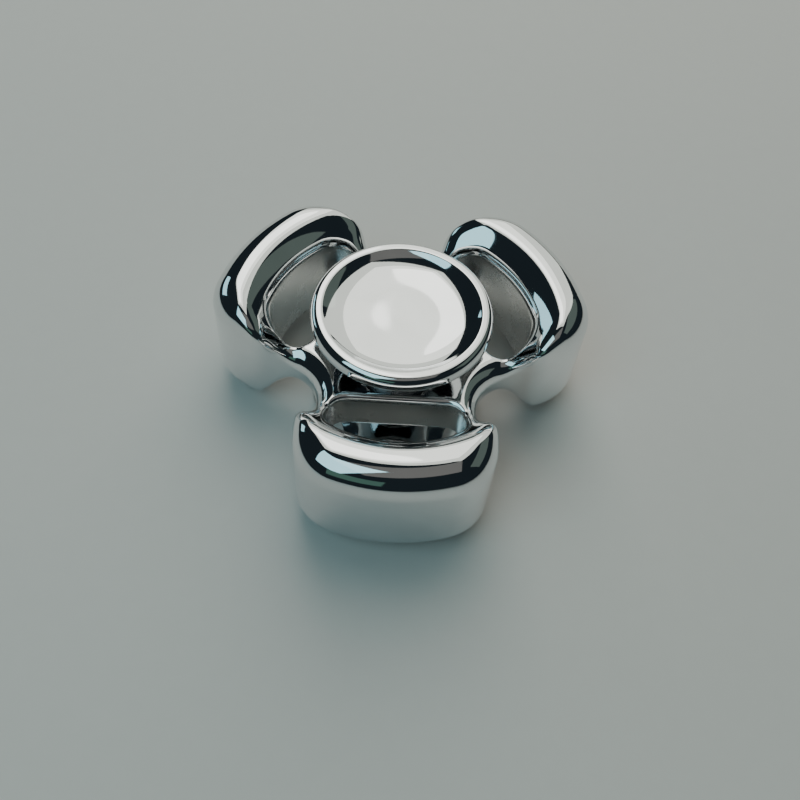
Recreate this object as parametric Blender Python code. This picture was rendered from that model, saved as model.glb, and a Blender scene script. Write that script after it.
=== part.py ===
"""Three-lobed fidget spinner with a small ball bearing and two finger buttons.

Units are metres, +Z is up, the spin axis is the Z axis and z = 0 is the middle plane.
"""
import math

import bmesh
import bpy
from mathutils import Matrix, Vector

MM = 0.001

# Spinner body
LOBES = 3
FRONT_LOBE_ANGLE = math.radians(-90.0)
BODY_RADIUS = 25.0 * MM
SIDE_AT = 16.0 * MM
SIDE_HALF_WIDTH = 12.2 * MM
SIDE_SLOPE = -0.01
CORNER_RADIUS = 6.6 * MM
SHOULDER_AT = 15.0 * MM
SHOULDER_RADIUS = 3.4 * MM
VALLEY_RADIUS = 5.8 * MM
BORE_RADIUS = 6.4 * MM
HUB_HALF_THICKNESS = 3.05 * MM
CREST_HALF_THICKNESS = 8.4 * MM
RISE_START = 13.4 * MM
RISE_END = 20.9 * MM
HUB_EDGE_ROUND = 2.6 * MM
LOBE_EDGE_ROUND = 3.8 * MM
HUB_ROUND_TO = 13.5 * MM
LOBE_ROUND_FROM = 21.5 * MM
BORE_EDGE_ROUND = 0.35 * MM

# Lobe windows
WINDOW_OUTER = 17.2 * MM
WINDOW_INNER = 9.7 * MM
WINDOW_HALF_WIDTH = 8.6 * MM
WINDOW_OUTER_CORNER = 4.3 * MM
WINDOW_INNER_CORNER = 2.4 * MM
WINDOW_EDGE_ROUND = 0.9 * MM

# Bearing
RACE_HALF_WIDTH = 2.381 * MM
RACE_OUTER = 6.35 * MM
RACE_BORE = 3.175 * MM
BALL_COUNT = 10
BALL_RADIUS = 0.794 * MM
BALL_ORBIT = 4.7625 * MM
GROOVE_RADIUS = 0.842 * MM
GROOVE_CLEARANCE = 0.04 * MM
OUTER_LAND = 5.25 * MM
INNER_LAND = 4.2 * MM
REBATE_RADIUS = 5.85 * MM
REBATE_START = 1.95 * MM
RACE_CHAMFER = 0.15 * MM

# Shields, snap rings, cage, spacers
SHIELD_INNER = 4.35 * MM
SHIELD_OUTER = 5.8 * MM
SHIELD_START = 1.97 * MM
SHIELD_THICKNESS = 0.12 * MM
SNAP_INNER = 5.52 * MM
SNAP_OUTER = 5.81 * MM
SNAP_START = 2.12 * MM
SNAP_THICKNESS = 0.2 * MM
SNAP_GAP = math.radians(20.0)
CAGE_INNER = 4.5 * MM
CAGE_OUTER = 5.02 * MM
CAGE_BOTTOM = -1.35 * MM
CAGE_RING_TOP = -0.93 * MM
CAGE_POST_RISE = 1.7 * MM
SPACER_INNER = 3.25 * MM
SPACER_OUTER = 4.0 * MM
SPACER_START = 2.41 * MM
SPACER_THICKNESS = 0.5 * MM

# Finger buttons
BUTTON_RADIUS = 11.6 * MM
BUTTON_TOP = 9.45 * MM
RIM_LAND_INNER = 10.25 * MM
RIM_LAND_OUTER = 10.55 * MM
RIM_WIDEST_Z = 8.15 * MM
RIM_UNDER_ROUND = 0.6 * MM
FLANGE_EDGE_Z = 7.35 * MM
DISH_EDGE = 9.85 * MM
DISH_EDGE_SLOPE = 0.72
DISH_POWER = 4.0
NECK_RADIUS = 4.0 * MM
NECK_BLEND = 2.0 * MM
NECK_BLEND_Z = 5.0 * MM
SHOULDER_Z = 2.94 * MM
BOSS_RADIUS = 3.1 * MM
BOSS_END_Z = 0.15 * MM
BOSS_HOLE = 1.55 * MM
BOSS_HOLE_END_Z = 5.4 * MM
SCREW_RADIUS = 1.45 * MM
SCREW_HALF_LENGTH = 5.0 * MM
SCREW_CHAMFER = 0.3 * MM

# Mesh density
TURN_STEPS = 48
FINE_STEPS = 40


def clear_scene():
    for item in list(bpy.data.objects):
        bpy.data.objects.remove(item, do_unlink=True)


def steel(name, colour, roughness):
    material = bpy.data.materials.new(name)
    material.use_nodes = True
    shader = material.node_tree.nodes["Principled BSDF"]
    shader.inputs["Base Color"].default_value = (*colour, 1.0)
    shader.inputs["Metallic"].default_value = 1.0
    shader.inputs["Roughness"].default_value = roughness
    return material


def add_object(name, work, colour=(0.62, 0.63, 0.65), roughness=0.12):
    bmesh.ops.recalc_face_normals(work, faces=work.faces)
    mesh = bpy.data.meshes.new(name)
    work.to_mesh(mesh)
    work.free()
    mesh.materials.append(steel(name + "_metal", colour, roughness))
    mesh.shade_smooth()
    mesh.set_sharp_from_angle(angle=math.radians(40.0))
    item = bpy.data.objects.new(name, mesh)
    bpy.context.scene.collection.objects.link(item)
    return item


def arc(centre, radius, start, end, steps):
    """Points along an arc, angles in degrees, radius a number or a pair of half-axes."""
    half_axes = radius if isinstance(radius, tuple) else (radius, radius)
    points = []
    for step in range(steps + 1):
        angle = math.radians(start + (end - start) * step / steps)
        points.append((centre[0] + half_axes[0] * math.cos(angle),
                       centre[1] + half_axes[1] * math.sin(angle)))
    return points


def turned(profile, steps=TURN_STEPS, opening=0.0):
    """Closed profile of (radius, height) points turned about the Z axis."""
    work = bmesh.new()
    verts = [work.verts.new((radius, 0.0, height)) for radius, height in profile]
    section = work.faces.new(verts)
    full = opening == 0.0
    geometry = list(section.verts) + list(section.edges) + ([] if full else [section])
    if full:
        work.faces.remove(section)
    bmesh.ops.spin(work, geom=geometry, cent=(0, 0, 0), axis=(0, 0, 1), dvec=(0, 0, 0),
                   angle=2.0 * math.pi - opening, steps=steps, use_merge=full)
    bmesh.ops.remove_doubles(work, verts=work.verts, dist=1e-7)
    return work


def box_profile(inner, outer, bottom, height):
    return [(inner, bottom), (outer, bottom), (outer, bottom + height), (inner, bottom + height)]


# ---- spinner body -------------------------------------------------------------------------

def side_frame():
    """Direction along the lobe's side wall, its outward normal and its offset."""
    along = Vector((1.0, SIDE_SLOPE)).normalized()
    normal = Vector((-along.y, along.x))
    return along, normal, Vector((SIDE_AT, SIDE_HALF_WIDTH)).dot(normal)


def corner_centre():
    along, normal, offset = side_frame()
    reach = math.sqrt((BODY_RADIUS - CORNER_RADIUS) ** 2 - (offset - CORNER_RADIUS) ** 2)
    return normal * (offset - CORNER_RADIUS) + along * reach


def shoulder_centre():
    along, normal, offset = side_frame()
    inner = offset - SHOULDER_RADIUS
    return normal * inner + along * ((SHOULDER_AT - normal.x * inner) / along.x)


def valley_centre():
    """On the line between two lobes, just touching the shoulder's rounding."""
    shoulder = shoulder_centre()
    middle = Vector((math.cos(math.pi / LOBES), math.sin(math.pi / LOBES)))
    reach = middle.dot(shoulder)
    gap = SHOULDER_RADIUS + VALLEY_RADIUS
    return middle * (reach + math.sqrt(reach * reach - shoulder.length_squared + gap * gap))


def smooth_step(value, low, high):
    share = min(1.0, max(0.0, (value - low) / (high - low)))
    return share * share * (3.0 - 2.0 * share)


def round_drop(radius, distance):
    """How far a rounded edge has fallen at this distance from the wall."""
    short = radius - min(max(distance, 0.0), radius)
    return radius - math.sqrt(radius * radius - short * short)


def wall_distance(point):
    """Distance from a point of the half lobe to the body's outer wall."""
    along, normal, offset = side_frame()
    corner = corner_centre()
    shoulder = shoulder_centre()
    valley = valley_centre()
    turned = math.atan2(point.y, point.x) > math.atan2(corner.y, corner.x)
    if point.dot(along) > corner.dot(along) and turned:
        return CORNER_RADIUS - (point - corner).length
    rest = point - shoulder
    beside = (valley - shoulder).cross(rest) < 0.0
    if beside and rest.dot(along) < 0.0 and rest.dot(normal) > 0.0:
        return SHOULDER_RADIUS - rest.length
    to_valley = (point - valley).length - VALLEY_RADIUS
    return min(BODY_RADIUS - point.length, offset - point.dot(normal), to_valley)


def surface_height(point, window_distance):
    """Half thickness of the body at a point of the half lobe."""
    reach = point.length
    rise = smooth_step(reach, RISE_START, RISE_END)
    height = HUB_HALF_THICKNESS + (CREST_HALF_THICKNESS - HUB_HALF_THICKNESS) * rise
    share = smooth_step(point.x, HUB_ROUND_TO, LOBE_ROUND_FROM)
    edge_round = HUB_EDGE_ROUND + (LOBE_EDGE_ROUND - HUB_EDGE_ROUND) * share
    height -= round_drop(edge_round, wall_distance(point))
    height -= round_drop(WINDOW_EDGE_ROUND, window_distance)
    return height - round_drop(BORE_EDGE_ROUND, reach - BORE_RADIUS)


def window_half():
    """Half of the window's outline with its outward normals, outer middle to inner middle."""
    reach = WINDOW_OUTER - WINDOW_OUTER_CORNER
    rise = WINDOW_HALF_WIDTH - WINDOW_OUTER_CORNER
    outer = (math.sqrt(reach * reach - rise * rise), rise)
    inner = (WINDOW_INNER + WINDOW_INNER_CORNER, WINDOW_HALF_WIDTH - WINDOW_INNER_CORNER)
    turn = math.degrees(math.atan2(outer[1], outer[0]))
    places = []
    for centre, radius, start, end, steps in (((0.0, 0.0), WINDOW_OUTER, 0.0, turn, 6),
                                              (outer, WINDOW_OUTER_CORNER, turn, 90.0, 7),
                                              (inner, WINDOW_INNER_CORNER, 90.0, 180.0, 6)):
        for point in arc(centre, radius, start, end, steps)[:-1]:
            normal = Vector((point[0] - centre[0], point[1] - centre[1])).normalized()
            places.append((Vector(point), normal))
    for step in range(6):
        across = inner[1] * (1.0 - step / 5.0)
        places.append((Vector((WINDOW_INNER, across)), Vector((-1.0, 0.0))))
    return places


def wall_half():
    """Matching half outline: rim, corner, side, shoulder, valley, middle line, bore."""
    _, normal, _ = side_frame()
    corner = corner_centre()
    shoulder = shoulder_centre()
    valley = valley_centre()
    to_valley = valley - shoulder
    corner_turn = math.degrees(math.atan2(corner.y, corner.x))
    side_turn = math.degrees(math.atan2(normal.y, normal.x))
    valley_turn = math.degrees(math.atan2(to_valley.y, to_valley.x))
    places = arc((0.0, 0.0), BODY_RADIUS, 0.0, corner_turn, 6)[:-1]
    places += arc(corner, CORNER_RADIUS, corner_turn, side_turn, 4)[:-1]
    start = corner + normal * CORNER_RADIUS
    end = shoulder + normal * SHOULDER_RADIUS
    places += [tuple(start.lerp(end, step / 2.0)) for step in range(2)]
    places += arc(shoulder, SHOULDER_RADIUS, side_turn, valley_turn, 2)[:-1]
    places += arc(valley, VALLEY_RADIUS, valley_turn - 180.0, -180.0 + 180.0 / LOBES, 2)[:-1]
    nearest = valley.length - VALLEY_RADIUS
    for share in (0.0, 0.12, 0.42):
        radius = nearest + (BORE_RADIUS - nearest) * share
        places.append(tuple(valley.normalized() * radius))
    places += arc((0.0, 0.0), BORE_RADIUS, 180.0 / LOBES, 0.0, 5)
    return [Vector(place) for place in places]


def half_lobe_rows():
    """Rows of points running from the window's edge to the wall, one row per station."""
    rows = []
    for (edge, normal), wall in zip(window_half(), wall_half()):
        row = [(edge, 0.0)]
        for turn in (30.0, 60.0):
            gap = WINDOW_EDGE_ROUND * (1.0 - math.cos(math.radians(turn)))
            row.append((edge + normal * gap, gap))
        start = edge + normal * WINDOW_EDGE_ROUND
        span = (wall - start).length
        fall = min(LOBE_EDGE_ROUND, 0.8 * span)
        row.append((start, WINDOW_EDGE_ROUND))
        for turn in (90.0, 55.0, 32.0, 14.0, 0.0):
            share = 1.0 - fall * (1.0 - math.cos(math.radians(turn))) / span
            row.append((start.lerp(wall, share), WINDOW_EDGE_ROUND))
        rows.append([Vector((*place, surface_height(place, gap))) for place, gap in row])
    return rows


def add_half_lobe(work, rows, matrix, on_wall):
    """Upper half of one half lobe, with its walls down to the middle plane."""
    grid = []
    for row in rows:
        floor_first = Vector((row[0].x, row[0].y, 0.0))
        floor_last = Vector((row[-1].x, row[-1].y, 0.0))
        grid.append([work.verts.new(matrix @ place) for place in [floor_first, *row, floor_last]])
    for station, (here, there) in enumerate(zip(grid, grid[1:])):
        last = len(here) - 1 if on_wall[station] and on_wall[station + 1] else len(here) - 2
        for step in range(last):
            work.faces.new((here[step], here[step + 1], there[step + 1], there[step]))


def spinner_body():
    work = bmesh.new()
    rows = half_lobe_rows()
    middle = Vector((math.cos(math.pi / LOBES), math.sin(math.pi / LOBES)))
    across = Vector((-middle.y, middle.x))
    on_line = [abs(row[-1].xy.dot(across)) < 1e-7 for row in rows]
    first = on_line.index(True)
    last = len(on_line) - 1 - on_line[::-1].index(True)
    on_wall = [station <= first or station >= last for station in range(len(rows))]
    for lobe in range(LOBES):
        turn = Matrix.Rotation(FRONT_LOBE_ANGLE + lobe * 2.0 * math.pi / LOBES, 4, "Z")
        for flip_y in (1.0, -1.0):
            for flip_z in (1.0, -1.0):
                matrix = turn @ Matrix.Diagonal((1.0, flip_y, flip_z, 1.0))
                add_half_lobe(work, rows, matrix, on_wall)
    bmesh.ops.remove_doubles(work, verts=work.verts, dist=1e-6)
    loose = [vert for vert in work.verts if not vert.link_faces]
    bmesh.ops.delete(work, geom=loose, context="VERTS")
    return add_object("spinner_body", work, roughness=0.05)


# ---- bearing ------------------------------------------------------------------------------

def outer_ring():
    groove = BALL_ORBIT + BALL_RADIUS + GROOVE_CLEARANCE - GROOVE_RADIUS
    reach = math.degrees(math.acos((OUTER_LAND - groove) / GROOVE_RADIUS))
    flat = RACE_OUTER - RACE_CHAMFER
    edge = RACE_HALF_WIDTH - RACE_CHAMFER
    profile = [(flat, -RACE_HALF_WIDTH), (RACE_OUTER, -edge), (RACE_OUTER, edge)]
    profile += [(flat, RACE_HALF_WIDTH), (REBATE_RADIUS, RACE_HALF_WIDTH)]
    profile += [(REBATE_RADIUS, REBATE_START), (OUTER_LAND, REBATE_START)]
    profile += arc((groove, 0.0), GROOVE_RADIUS, reach, -reach, 6)
    profile += [(OUTER_LAND, -REBATE_START), (REBATE_RADIUS, -REBATE_START)]
    profile += [(REBATE_RADIUS, -RACE_HALF_WIDTH)]
    return add_object("bearing_outer_ring", turned(profile))


def inner_ring():
    groove = BALL_ORBIT - BALL_RADIUS - GROOVE_CLEARANCE + GROOVE_RADIUS
    reach = math.degrees(math.acos((groove - INNER_LAND) / GROOVE_RADIUS))
    flat = RACE_BORE + RACE_CHAMFER
    edge = RACE_HALF_WIDTH - RACE_CHAMFER
    profile = [(flat, -RACE_HALF_WIDTH), (INNER_LAND, -RACE_HALF_WIDTH)]
    profile += arc((groove, 0.0), GROOVE_RADIUS, 180.0 + reach, 180.0 - reach, 6)
    profile += [(INNER_LAND, RACE_HALF_WIDTH), (flat, RACE_HALF_WIDTH)]
    profile += [(RACE_BORE, edge), (RACE_BORE, -edge)]
    return add_object("bearing_inner_ring", turned(profile))


def shield(name, side):
    work = turned(box_profile(SHIELD_INNER, SHIELD_OUTER, SHIELD_START, SHIELD_THICKNESS))
    bmesh.ops.scale(work, verts=work.verts, vec=(1.0, 1.0, side))
    return add_object(name, work, roughness=0.25)


def snap_ring(name, side):
    profile = box_profile(SNAP_INNER, SNAP_OUTER, SNAP_START, SNAP_THICKNESS)
    work = turned(profile, FINE_STEPS, SNAP_GAP)
    bmesh.ops.scale(work, verts=work.verts, vec=(1.0, 1.0, side))
    return add_object(name, work, roughness=0.3)


def spacer(name, side):
    work = turned(box_profile(SPACER_INNER, SPACER_OUTER, SPACER_START, SPACER_THICKNESS),
                  FINE_STEPS)
    bmesh.ops.scale(work, verts=work.verts, vec=(1.0, 1.0, side))
    return add_object(name, work, roughness=0.2)


def ball_cage():
    """Crown cage: a ring with one post standing between each pair of balls."""
    segments = 6 * BALL_COUNT
    work = turned(box_profile(CAGE_INNER, CAGE_OUTER, CAGE_BOTTOM, CAGE_RING_TOP - CAGE_BOTTOM),
                  segments)
    bmesh.ops.recalc_face_normals(work, faces=work.faces)
    posts = []
    for face in work.faces:
        middle = face.calc_center_median()
        turn = math.degrees(math.atan2(middle.y, middle.x)) % (360.0 / BALL_COUNT)
        if face.normal.z > 0.9 and abs(turn - 180.0 / BALL_COUNT) < 360.0 / segments:
            posts.append(face)
    grown = bmesh.ops.extrude_face_region(work, geom=posts)
    risen = [item for item in grown["geom"] if isinstance(item, bmesh.types.BMVert)]
    bmesh.ops.translate(work, verts=risen, vec=(0.0, 0.0, CAGE_POST_RISE))
    bmesh.ops.delete(work, geom=[face for face in posts if face.is_valid], context="FACES")
    return add_object("ball_cage", work, (0.55, 0.56, 0.58), 0.3)


def ball(number):
    turn = (number - 1) * 2.0 * math.pi / BALL_COUNT
    work = bmesh.new()
    bmesh.ops.create_uvsphere(work, u_segments=14, v_segments=8, radius=BALL_RADIUS)
    item = add_object("ball_%02d" % number, work, roughness=0.04)
    item.location.x = BALL_ORBIT * math.cos(turn)
    item.location.y = BALL_ORBIT * math.sin(turn)
    return item


# ---- finger buttons -----------------------------------------------------------------------

def button_profile():
    """Boss, neck, flared underside, rounded rim with a flat land, shallow dish."""
    profile = [(0.0, BOSS_HOLE_END_Z), (BOSS_HOLE, BOSS_HOLE_END_Z), (BOSS_HOLE, BOSS_END_Z)]
    profile += [(BOSS_RADIUS, BOSS_END_Z), (BOSS_RADIUS, SHOULDER_Z), (NECK_RADIUS, SHOULDER_Z)]
    profile += arc((NECK_RADIUS + NECK_BLEND, NECK_BLEND_Z), NECK_BLEND, 180.0, 112.0, 4)
    under = (BUTTON_RADIUS - RIM_UNDER_ROUND, FLANGE_EDGE_Z + RIM_UNDER_ROUND)
    profile += arc(under, RIM_UNDER_ROUND, -75.0, 0.0, 3)
    outside = (BUTTON_RADIUS - RIM_LAND_OUTER, BUTTON_TOP - RIM_WIDEST_Z)
    profile += arc((RIM_LAND_OUTER, RIM_WIDEST_Z), outside, 0.0, 90.0, 5)[1:]
    edge_z = BUTTON_TOP - DISH_EDGE_SLOPE * (RIM_LAND_INNER - DISH_EDGE) / 2.0
    centre_z = edge_z - DISH_EDGE_SLOPE * DISH_EDGE / (DISH_POWER + 1.0)
    profile.append((RIM_LAND_INNER, BUTTON_TOP))
    for share in (1.0, 0.95, 0.88, 0.78, 0.65, 0.45, 0.0):
        rise = (edge_z - centre_z) * share ** (DISH_POWER + 1.0)
        profile.append((DISH_EDGE * share, centre_z + rise))
    return profile


def finger_button(name, side):
    work = turned(button_profile())
    bmesh.ops.scale(work, verts=work.verts, vec=(1.0, 1.0, side))
    return add_object(name, work, roughness=0.05)


def joining_screw():
    flat = SCREW_RADIUS - SCREW_CHAMFER
    edge = SCREW_HALF_LENGTH - SCREW_CHAMFER
    profile = [(0.0, -SCREW_HALF_LENGTH), (flat, -SCREW_HALF_LENGTH), (SCREW_RADIUS, -edge)]
    profile += [(SCREW_RADIUS, edge), (flat, SCREW_HALF_LENGTH), (0.0, SCREW_HALF_LENGTH)]
    return add_object("joining_screw", turned(profile, 24), (0.35, 0.35, 0.36), 0.35)


def attach(parent, children):
    bpy.context.view_layer.update()
    for child in children:
        child.parent = parent
        child.matrix_parent_inverse = parent.matrix_world.inverted()


def build():
    clear_scene()
    rotor = spinner_body()
    attach(rotor, [outer_ring(), shield("upper_bearing_shield", 1.0),
                   shield("lower_bearing_shield", -1.0), snap_ring("upper_snap_ring", 1.0),
                   snap_ring("lower_snap_ring", -1.0)])
    attach(ball_cage(), [ball(number) for number in range(1, BALL_COUNT + 1)])
    attach(finger_button("lower_button", -1.0),
           [finger_button("upper_button", 1.0), joining_screw(), inner_ring(),
            spacer("upper_spacer", 1.0), spacer("lower_spacer", -1.0)])


build()
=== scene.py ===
import math
import bmesh
import bpy
import numpy as np
from mathutils import Matrix, Vector


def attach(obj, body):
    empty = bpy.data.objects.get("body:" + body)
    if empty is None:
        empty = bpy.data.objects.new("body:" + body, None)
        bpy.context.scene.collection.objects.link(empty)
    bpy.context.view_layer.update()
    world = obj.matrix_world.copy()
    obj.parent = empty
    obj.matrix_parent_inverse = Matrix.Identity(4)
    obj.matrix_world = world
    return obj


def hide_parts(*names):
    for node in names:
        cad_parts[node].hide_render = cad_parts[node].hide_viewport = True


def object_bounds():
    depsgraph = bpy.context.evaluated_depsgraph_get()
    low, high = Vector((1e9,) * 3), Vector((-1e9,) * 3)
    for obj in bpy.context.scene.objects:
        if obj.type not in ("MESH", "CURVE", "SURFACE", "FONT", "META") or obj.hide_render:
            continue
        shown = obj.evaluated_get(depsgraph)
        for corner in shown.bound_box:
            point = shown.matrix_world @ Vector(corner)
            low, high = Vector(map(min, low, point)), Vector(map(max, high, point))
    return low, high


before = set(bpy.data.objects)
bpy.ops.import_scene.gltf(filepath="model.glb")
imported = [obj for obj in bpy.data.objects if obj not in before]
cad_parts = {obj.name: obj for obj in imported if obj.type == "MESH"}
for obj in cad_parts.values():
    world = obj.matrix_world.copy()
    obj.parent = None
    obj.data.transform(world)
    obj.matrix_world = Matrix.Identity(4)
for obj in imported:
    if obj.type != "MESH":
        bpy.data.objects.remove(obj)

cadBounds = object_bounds()
mm = 0.001
weldWithin = 1e-7  # points closer than this become one
sharpAbove = math.radians(35)  # edges that turn more than this stay crisp


# small helpers shared by the pieces

def putInScene(name, mesh, rideOn, slotName, *nodes):
    piece = bpy.data.objects.new(name, mesh)
    bpy.context.scene.collection.objects.link(piece)
    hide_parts(*nodes)
    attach(piece, rideOn)
    return piece


def arcPoints(centre, halfAxes, start, end, steps):
    turns = np.radians(np.linspace(start, end, steps + 1))
    return [(centre[0] + halfAxes[0] * math.cos(t), centre[1] + halfAxes[1] * math.sin(t)) for t in turns]


def turnedMesh(name, profile, steps, side):
    # profile is a closed loop of (radius, height) in mm, turned about the spin axis
    work = bmesh.new()
    ring = [work.verts.new((r * mm, 0.0, z * mm * side)) for r, z in profile]
    section = work.faces.new(ring)
    parts = list(section.verts) + list(section.edges)
    work.faces.remove(section)
    bmesh.ops.spin(work, geom=parts, cent=(0, 0, 0), axis=(0, 0, 1), dvec=(0, 0, 0),
                   angle=2 * math.pi, steps=steps, use_merge=True)
    bmesh.ops.remove_doubles(work, verts=work.verts, dist=weldWithin)
    bmesh.ops.recalc_face_normals(work, faces=work.faces)
    mesh = bpy.data.meshes.new(name)
    work.to_mesh(mesh)
    work.free()
    mesh.shade_smooth()
    mesh.set_sharp_from_angle(angle=sharpAbove)
    return mesh


# polished metal with fine scratches, faint smears and a little colour drift

surface = {
    "smearScale": 160, "smearDetail": 5, "smearTwist": 0.6, "smearLow": 0.35, "smearHigh": 0.75,
    "hairScale": 9000, "hairDetail": 2, "hairTurn": (0.4, 0.9, 0.7), "hairStretch": (1.0, 0.05, 0.4),
    "darkShare": 0.93, "darkAt": 0.3, "lightAt": 0.7, "leastBump": 0.02, "bumpDepth": 0.00002,
}


def metalMaterial(name, colour, roughness, scratch=0.02, smear=0.04, grain=0.0):
    material = bpy.data.materials.new(name)
    material.use_nodes = True
    nodes, links = material.node_tree.nodes, material.node_tree.links
    shader = nodes["Principled BSDF"]
    shader.inputs["Metallic"].default_value = 1.0
    place = nodes.new("ShaderNodeTexCoord")

    cloud = nodes.new("ShaderNodeTexNoise")  # smears left by fingers
    cloud.inputs["Scale"].default_value = surface["smearScale"]
    cloud.inputs["Detail"].default_value = surface["smearDetail"]
    cloud.inputs["Distortion"].default_value = surface["smearTwist"]
    links.new(place.outputs["Object"], cloud.inputs["Vector"])

    stretch = nodes.new("ShaderNodeMapping")
    stretch.inputs["Rotation"].default_value = surface["hairTurn"]
    stretch.inputs["Scale"].default_value = surface["hairStretch"]
    links.new(place.outputs["Object"], stretch.inputs["Vector"])
    hair = nodes.new("ShaderNodeTexNoise")  # hairline scratches
    hair.inputs["Scale"].default_value = surface["hairScale"]
    hair.inputs["Detail"].default_value = surface["hairDetail"]
    links.new(stretch.outputs["Vector"], hair.inputs["Vector"])

    dull = nodes.new("ShaderNodeMapRange")
    dull.inputs["From Min"].default_value = surface["smearLow"]
    dull.inputs["From Max"].default_value = surface["smearHigh"]
    dull.inputs["To Min"].default_value = roughness
    dull.inputs["To Max"].default_value = roughness + smear
    links.new(cloud.outputs["Fac"], dull.inputs["Value"])
    mixRough = nodes.new("ShaderNodeMath")
    mixRough.operation = "MULTIPLY_ADD"
    mixRough.inputs[1].default_value = scratch
    links.new(hair.outputs["Fac"], mixRough.inputs[0])
    links.new(dull.outputs["Result"], mixRough.inputs[2])
    links.new(mixRough.outputs["Value"], shader.inputs["Roughness"])

    tint = nodes.new("ShaderNodeValToRGB")
    tint.color_ramp.elements[0].position = surface["darkAt"]
    tint.color_ramp.elements[0].color = (*[c * surface["darkShare"] for c in colour], 1)
    tint.color_ramp.elements[1].position = surface["lightAt"]
    tint.color_ramp.elements[1].color = (*colour, 1)
    links.new(cloud.outputs["Fac"], tint.inputs["Fac"])
    links.new(tint.outputs["Color"], shader.inputs["Base Color"])

    bump = nodes.new("ShaderNodeBump")
    bump.inputs["Strength"].default_value = surface["leastBump"] + grain
    bump.inputs["Distance"].default_value = surface["bumpDepth"]
    links.new(hair.outputs["Fac"], bump.inputs["Height"])
    links.new(bump.outputs["Normal"], shader.inputs["Normal"])
    return material


finishes = {
    "mirrorSteel": dict(colour=(0.80, 0.81, 0.82), roughness=0.025, scratch=0.02, smear=0.03),
    "windowSteel": dict(colour=(0.70, 0.71, 0.71), roughness=0.22, scratch=0.06, smear=0.05, grain=0.05),
    "groundSteel": dict(colour=(0.62, 0.62, 0.63), roughness=0.16, scratch=0.08, smear=0.05, grain=0.2),
    "shieldSteel": dict(colour=(0.58, 0.58, 0.60), roughness=0.22, scratch=0.08, smear=0.06, grain=0.15),
    "springWire": dict(colour=(0.50, 0.50, 0.52), roughness=0.25, scratch=0.06, smear=0.05, grain=0.1),
    "ballSteel": dict(colour=(0.82, 0.82, 0.83), roughness=0.02, scratch=0.01, smear=0.02),
    "cageSteel": dict(colour=(0.55, 0.56, 0.58), roughness=0.28, scratch=0.08, smear=0.06, grain=0.2),
    "darkScrew": dict(colour=(0.10, 0.10, 0.11), roughness=0.35, scratch=0.1, smear=0.08, grain=0.3),
}
metals = {name: metalMaterial(name, **values) for name, values in finishes.items()}
print("materials made")


# spinner body: one lobe worked out in its own u (outward) and v (sideways) directions, in mm

body = {
    "radius": 25.0, "sideAt": 16.0, "sideHalfWidth": 12.2, "sideSlope": -0.01, "cornerRadius": 6.6,
    "shoulderAt": 15.0, "shoulderRadius": 3.4, "valleyRadius": 5.8, "boreRadius": 6.4, "boreEdge": 0.35,
    "hubHalf": 3.05, "crestHalf": 8.4, "riseStart": 13.4, "riseEnd": 20.9,
    "hubEdge": 2.6, "lobeEdge": 3.8, "hubEdgeTo": 13.5, "lobeEdgeFrom": 21.5,
    "windowOuter": 17.2, "windowInner": 9.7, "windowHalfWidth": 8.6,
    "windowOuterCorner": 4.3, "windowInnerCorner": 2.4, "windowEdge": 0.9,
    "fineness": 6, "firstLobe": -90.0,
}


def sideWall():
    along = np.array((1.0, body["sideSlope"]))
    along = along / np.linalg.norm(along)
    outward = np.array((-along[1], along[0]))
    offset = float(outward @ np.array((body["sideAt"], body["sideHalfWidth"])))
    return along, outward, offset


def cornerCentre():
    along, outward, offset = sideWall()
    inner = offset - body["cornerRadius"]
    return outward * inner + along * math.sqrt((body["radius"] - body["cornerRadius"]) ** 2 - inner ** 2)


def shoulderCentre():
    along, outward, offset = sideWall()
    inner = offset - body["shoulderRadius"]
    return outward * inner + along * ((body["shoulderAt"] - outward[0] * inner) / along[0])


def valleyCentre():
    # on the line between two lobes, just touching the shoulder's rounding
    middle, shoulder = np.array((0.5, math.sqrt(0.75))), shoulderCentre()
    reach, gap = float(middle @ shoulder), body["shoulderRadius"] + body["valleyRadius"]
    return middle * (reach + math.sqrt(reach ** 2 - float(shoulder @ shoulder) + gap ** 2))


def smoothRise(value, low, high):
    share = np.clip((value - low) / (high - low), 0.0, 1.0)
    return share * share * (3.0 - 2.0 * share)


def edgeDrop(radius, distance):
    short = radius - np.clip(distance, 0.0, radius)
    return radius - np.sqrt(np.maximum(radius * radius - short * short, 0.0))


def distanceToWall(points):
    along, outward, offset = sideWall()
    corner, shoulder, valley = cornerCentre(), shoulderCentre(), valleyCentre()
    near = np.minimum(body["radius"] - np.linalg.norm(points, axis=1), offset - points @ outward)
    near = np.minimum(near, np.linalg.norm(points - valley, axis=1) - body["valleyRadius"])
    turned = np.arctan2(points[:, 1], points[:, 0]) > math.atan2(corner[1], corner[0])
    atCorner = (points @ along > corner @ along) & turned
    near = np.where(atCorner, body["cornerRadius"] - np.linalg.norm(points - corner, axis=1), near)
    rest, toValley = points - shoulder, valley - shoulder
    beside = toValley[0] * rest[:, 1] - toValley[1] * rest[:, 0] < 0
    atShoulder = beside & (rest @ along < 0) & (rest @ outward > 0)
    return np.where(atShoulder, body["shoulderRadius"] - np.linalg.norm(rest, axis=1), near)


def bodyHeight(points, windowGap):
    reach = np.linalg.norm(points, axis=1)
    height = body["hubHalf"] + (body["crestHalf"] - body["hubHalf"]) * smoothRise(
        reach, body["riseStart"], body["riseEnd"])
    edge = body["hubEdge"] + (body["lobeEdge"] - body["hubEdge"]) * smoothRise(
        points[:, 0], body["hubEdgeTo"], body["lobeEdgeFrom"])
    height = height - edgeDrop(edge, distanceToWall(points))
    height = height - edgeDrop(np.full(len(points), body["windowEdge"]), windowGap)
    return height - edgeDrop(np.full(len(points), body["boreEdge"]), reach - body["boreRadius"])


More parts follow.
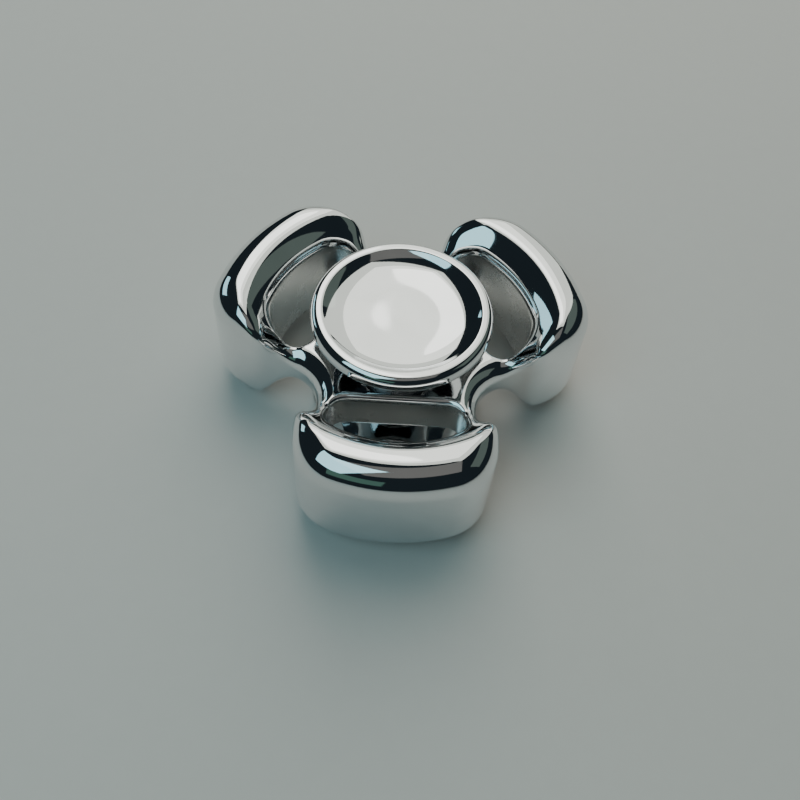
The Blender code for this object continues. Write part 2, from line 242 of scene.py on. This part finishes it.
def windowOutline(fine):
    reach = body["windowOuter"] - body["windowOuterCorner"]
    rise = body["windowHalfWidth"] - body["windowOuterCorner"]
    outer = (math.sqrt(reach ** 2 - rise ** 2), rise)
    inner = (body["windowInner"] + body["windowInnerCorner"],
             body["windowHalfWidth"] - body["windowInnerCorner"])
    turn = math.degrees(math.atan2(outer[1], outer[0]))
    places = []
    for centre, radius, start, end, steps in (((0.0, 0.0), body["windowOuter"], 0, turn, 6 * fine),
                                              (outer, body["windowOuterCorner"], turn, 90, 7 * fine),
                                              (inner, body["windowInnerCorner"], 90, 180, 6 * fine)):
        for point in arcPoints(centre, (radius, radius), start, end, steps)[:-1]:
            outward = ((point[0] - centre[0]) / radius, (point[1] - centre[1]) / radius)
            places.append((point, outward))
    for share in np.linspace(1, 0, 5 * fine + 1):
        places.append(((body["windowInner"], inner[1] * share), (-1.0, 0.0)))
    return np.array([p for p, n in places]), np.array([n for p, n in places])


def wallOutline(fine):
    along, outward, offset = sideWall()
    corner, shoulder, valley = cornerCentre(), shoulderCentre(), valleyCentre()
    cornerTurn = math.degrees(math.atan2(corner[1], corner[0]))
    sideTurn = math.degrees(math.atan2(outward[1], outward[0]))
    valleyTurn = math.degrees(math.atan2(valley[1] - shoulder[1], valley[0] - shoulder[0]))
    rim, bend, dip, brow = body["radius"], body["cornerRadius"], body["valleyRadius"], body["shoulderRadius"]
    places = arcPoints((0, 0), (rim, rim), 0, cornerTurn, 6 * fine)[:-1]
    places += arcPoints(corner, (bend, bend), cornerTurn, sideTurn, 4 * fine)[:-1]
    start, end = corner + outward * bend, shoulder + outward * brow
    places += [tuple(start + (end - start) * s) for s in np.linspace(0, 1, 2 * fine + 1)[:-1]]
    places += arcPoints(shoulder, (brow, brow), sideTurn, valleyTurn, 2 * fine)[:-1]
    places += arcPoints(valley, (dip, dip), valleyTurn - 180, -120, 2 * fine)[:-1]
    reach = float(np.linalg.norm(valley))
    nearest = reach - dip
    for s in np.linspace(0, 1, 3 * fine + 1)[:-1]:
        places.append(tuple(valley / reach * (nearest + (body["boreRadius"] - nearest) * s ** 1.6)))
    places += arcPoints((0, 0), (body["boreRadius"],) * 2, 60, 0, 5 * fine)
    return np.array(places)


def halfLobeRows(fine):
    edges, outwards = windowOutline(fine)
    walls = wallOutline(fine)
    rows = []
    gapTurns = np.radians(np.linspace(0, 90, 9))
    wallTurns = np.radians(np.linspace(90, 0, 19))
    for edge, outward, wall in zip(edges, outwards, walls):
        gaps = body["windowEdge"] * (1 - np.cos(gapTurns))
        near = edge + outward * gaps[:, None]
        start = near[-1]
        span = np.linalg.norm(wall - start)
        fall = min(body["lobeEdge"], 0.8 * span)
        flatShares = np.linspace(0, 1 - fall / span, 11)[1:-1]
        shares = np.concatenate((flatShares, 1 - fall / span * (1 - np.cos(wallTurns))))
        far = start + (wall - start) * shares[:, None]
        points = np.vstack((near, far))
        allGaps = np.concatenate((gaps, np.full(len(far), body["windowEdge"])))
        rows.append(np.column_stack((points, bodyHeight(points, allGaps))))
    return np.array(rows)


def spinnerBodyMesh():
    fine = body["fineness"]
    rows = halfLobeRows(fine)
    stations, count = rows.shape[:2]
    skirtIn, skirtOut = rows[:, :1].copy(), rows[:, -1:].copy()
    skirtIn[:, :, 2] = 0
    skirtOut[:, :, 2] = 0
    sheet = np.concatenate((skirtIn, rows, skirtOut), axis=1) * mm
    firstOpen, lastOpen = 16 * fine, 19 * fine  # stations on the line between two lobes
    width = count + 2
    windowRows = 3  # rows of faces that make the machined wall inside a window
    quads, coats = [], []
    for i in range(stations - 1):
        last = width - 2 if firstOpen <= i < lastOpen else width - 1
        here, there = i * width, (i + 1) * width
        quads += [(here + j, here + j + 1, there + j + 1, there + j) for j in range(last)]
        coats += [1 if j < windowRows else 0 for j in range(last)]
    places, faces = [], []
    flat = sheet.reshape(-1, 3)
    for lobe in range(3):
        turn = math.radians(body["firstLobe"] + 120 * lobe)
        c, s = math.cos(turn), math.sin(turn)
        for flipV in (1, -1):
            for flipZ in (1, -1):
                u, v, z = flat[:, 0], flat[:, 1] * flipV, flat[:, 2] * flipZ
                base = len(places) * len(flat)
                places.append(np.column_stack((u * c - v * s, u * s + v * c, z)))
                faces += [tuple(k + base for k in quad) for quad in quads]
    mesh = bpy.data.meshes.new("polished_body")
    mesh.from_pydata(np.vstack(places).tolist(), [], faces)
    for coat in ("mirrorSteel", "windowSteel"):
        mesh.materials.append(metals[coat])
    mesh.polygons.foreach_set("material_index", coats * len(places))
    work = bmesh.new()
    work.from_mesh(mesh)
    bmesh.ops.remove_doubles(work, verts=work.verts, dist=weldWithin)
    loose = [vert for vert in work.verts if not vert.link_faces]
    bmesh.ops.delete(work, geom=loose, context="VERTS")
    bmesh.ops.recalc_face_normals(work, faces=work.faces)
    work.to_mesh(mesh)
    work.free()
    mesh.shade_smooth()
    mesh.set_sharp_from_angle(angle=sharpAbove)
    return mesh


polishedBody = putInScene("polished_body", spinnerBodyMesh(), "rotor", "polished_steel", "spinner_body")
print("spinner body made,", len(polishedBody.data.polygons), "faces")


# finger buttons: turned, with a rounded rim bead round a shallow dish, mm from the middle plane

button = {
    "radius": 11.6, "top": 9.45, "landInner": 10.25, "landOuter": 10.55, "widestZ": 8.15,
    "underRound": 0.6, "flangeZ": 7.35,
    "dishEdge": 9.85, "dishSlopeAt": 7.1, "dishSlope": 11.0, "dishPower": 4.0,
    "neck": 4.0, "neckBlend": 2.0, "neckBlendZ": 5.0, "shoulderZ": 2.94,
    "boss": 3.1, "bossEndZ": 0.15, "hole": 1.55, "holeEndZ": 5.4, "turnSteps": 192,
}


def buttonProfile():
    b = button
    profile = [(0.0, b["holeEndZ"]), (b["hole"], b["holeEndZ"]), (b["hole"], b["bossEndZ"])]
    profile += [(b["boss"], b["bossEndZ"]), (b["boss"], b["shoulderZ"]), (b["neck"] - 0.15, b["shoulderZ"])]
    profile += [(b["neck"], b["shoulderZ"] + 0.15)]
    profile += arcPoints((b["neck"] + b["neckBlend"], b["neckBlendZ"]), (b["neckBlend"],) * 2, 180, 110, 14)
    under = (b["radius"] - b["underRound"], b["flangeZ"] + b["underRound"])
    profile += arcPoints(under, (b["underRound"],) * 2, -75, 0, 10)
    bead = (b["radius"] - b["landOuter"], b["top"] - b["widestZ"])
    profile += arcPoints((b["landOuter"], b["widestZ"]), bead, 4, 90, 16)
    steep = math.tan(math.radians(b["dishSlope"])) / b["dishSlopeAt"] ** b["dishPower"]
    power = b["dishPower"]
    edgeSlope = steep * b["dishEdge"] ** power
    width = b["landInner"] - b["dishEdge"]
    inside = [(b["landInner"] - width * s, edgeSlope * width * s * s / 2) for s in np.linspace(0, 1, 12)]
    profile += [(r, b["top"] - drop) for r, drop in inside[1:]]
    foot = b["top"] - inside[-1][1] - steep * b["dishEdge"] ** (power + 1) / (power + 1)
    profile += [(b["dishEdge"] * s, foot + steep * (b["dishEdge"] * s) ** (power + 1) / (power + 1))
                for s in np.linspace(1, 0, 40)[1:]]
    return profile


for name, side, node in (("upper_finger_button", 1.0, "upper_button"),
                         ("lower_finger_button", -1.0, "lower_button")):
    mesh = turnedMesh(name, buttonProfile(), button["turnSteps"], side)
    piece = putInScene(name, mesh, "buttons", "polished_steel", node)
    piece.data.materials.append(metals["mirrorSteel"])
print("finger buttons made")


# bearing pieces seen through the gap under the button

for node, metal in (("bearing_outer_ring", "groundSteel"), ("bearing_inner_ring", "groundSteel"),
                    ("upper_bearing_shield", "shieldSteel"), ("lower_bearing_shield", "shieldSteel"),
                    ("upper_snap_ring", "springWire"), ("lower_snap_ring", "springWire"),
                    ("ball_cage", "cageSteel"), ("joining_screw", "darkScrew"),
                    ("upper_spacer", "groundSteel"), ("lower_spacer", "groundSteel"),
                    *((f"ball_{number:02d}", "ballSteel") for number in range(1, 11))):
    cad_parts[node].data.materials.clear()
    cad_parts[node].data.materials.append(metals[metal])
print("bearing finished")


# floor, lights and camera

floorZ = cadBounds[0][2]
studio = {
    "floorSize": 2.4, "floorColour": (0.74, 0.72, 0.69), "floorRoughness": 0.85,
    "paperGrain": 900, "paperDark": 0.97, "room": (0.012, 0.018, 0.022), "roomStrength": 1.0,
    "dome": 0.5,
}
floorMesh = bpy.data.meshes.new("studio_floor")
half = studio["floorSize"] / 2
floorCorners = [(-half, -half, 0), (half, -half, 0), (half, half, 0), (-half, half, 0)]
floorMesh.from_pydata(floorCorners, [], [(0, 1, 2, 3)])
studioFloor = bpy.data.objects.new("studio_floor", floorMesh)
bpy.context.scene.collection.objects.link(studioFloor)
studioFloor.location.z = floorZ
paper = bpy.data.materials.new("pale_paper")
paper.use_nodes = True
paperShader = paper.node_tree.nodes["Principled BSDF"]
paperShader.inputs["Roughness"].default_value = studio["floorRoughness"]
paperNoise = paper.node_tree.nodes.new("ShaderNodeTexNoise")
paperNoise.inputs["Scale"].default_value = studio["paperGrain"]
paperTint = paper.node_tree.nodes.new("ShaderNodeValToRGB")
paperTint.color_ramp.elements[0].color = (*[c * studio["paperDark"] for c in studio["floorColour"]], 1)
paperTint.color_ramp.elements[1].color = (*studio["floorColour"], 1)
paper.node_tree.links.new(paperNoise.outputs["Fac"], paperTint.inputs["Fac"])
paper.node_tree.links.new(paperTint.outputs["Color"], paperShader.inputs["Base Color"])
floorMesh.materials.append(paper)

world = bpy.data.worlds.new("studio_room")
bpy.context.scene.world = world
world.use_nodes = True
backdrop = world.node_tree.nodes["Background"]
backdrop.inputs["Color"].default_value = (*studio["room"], 1)
backdrop.inputs["Strength"].default_value = studio["roomStrength"]

# each soft panel hangs on a dome round the spinner and faces its middle
# wide and tall are the angles it fills, and the three window panels lie over one another
softPanels = {
    "windowWall": dict(azimuth=79, elevation=46, wide=56, tall=84, glow=1.05, colour=(0.96, 1.0, 0.90)),
    "windowMiddle": dict(azimuth=92, elevation=50, wide=34, tall=62, glow=0.7, colour=(1.0, 0.99, 0.93)),
    "windowBright": dict(azimuth=104, elevation=56, wide=18, tall=40, glow=1.0, colour=(1.0, 0.99, 0.95)),
    "skyPanel": dict(azimuth=225, elevation=51, wide=36, tall=40, glow=1.5, colour=(0.50, 0.90, 1.0)),
    "skySlot": dict(azimuth=146, elevation=18, wide=26, tall=14, glow=1.3, colour=(0.50, 0.90, 1.0)),
    "greyCard": dict(azimuth=14, elevation=34, wide=60, tall=26, glow=0.12, colour=(0.75, 0.95, 0.80)),
    "frontCard": dict(azimuth=285, elevation=64, wide=44, tall=34, glow=0.16, colour=(1.0, 0.96, 0.88)),
    "greenCard": dict(azimuth=250, elevation=22, wide=30, tall=16, glow=0.12, colour=(0.45, 1.0, 0.75)),
}
dome = studio["dome"]
for name, panel in softPanels.items():
    light = bpy.data.lights.new(name, "AREA")
    light.shape = "RECTANGLE"
    light.size = 2 * dome * math.tan(math.radians(panel["wide"] / 2))
    light.size_y = 2 * dome * math.tan(math.radians(panel["tall"] / 2))
    light.energy = panel["glow"] * math.pi * light.size * light.size_y
    light.color = panel["colour"]
    a, e = math.radians(panel["azimuth"]), math.radians(panel["elevation"])
    toward = Vector((math.cos(e) * math.cos(a), math.cos(e) * math.sin(a), math.sin(e)))
    lamp = bpy.data.objects.new(name, light)
    bpy.context.scene.collection.objects.link(lamp)
    lamp.location = toward * dome
    lamp.rotation_euler = toward.to_track_quat("Z", "Y").to_matrix().to_euler()

view = {"elevation": 55.3, "turn": -2.25, "distance": 0.125, "roll": 5.18, "lens": 42.345, "sensor": 36.0,
        "aimRight": -0.000186, "aimUp": 0.006164}
camera = bpy.data.objects.new("camera", bpy.data.cameras.new("camera"))
bpy.context.scene.collection.objects.link(camera)
camera.data.lens = view["lens"]
camera.data.sensor_width = view["sensor"]
camera.data.clip_start = 0.01
rise, lean = math.radians(view["elevation"]), math.radians(view["roll"])
forward = Vector((0, math.cos(rise), -math.sin(rise)))
level = Vector((1, 0, 0))
upward = level.cross(forward)
rightAxis = math.cos(lean) * level + math.sin(lean) * upward
upAxis = math.cos(lean) * upward - math.sin(lean) * level
spot = -(rightAxis * view["aimRight"] + upAxis * view["aimUp"] + forward * view["distance"])
facing = Matrix((rightAxis, upAxis, -forward)).transposed().to_4x4()
camera.matrix_world = Matrix.Rotation(math.radians(view["turn"]), 4, "Z") @ Matrix.Translation(spot) @ facing
bpy.context.scene.camera = camera
print("studio set")
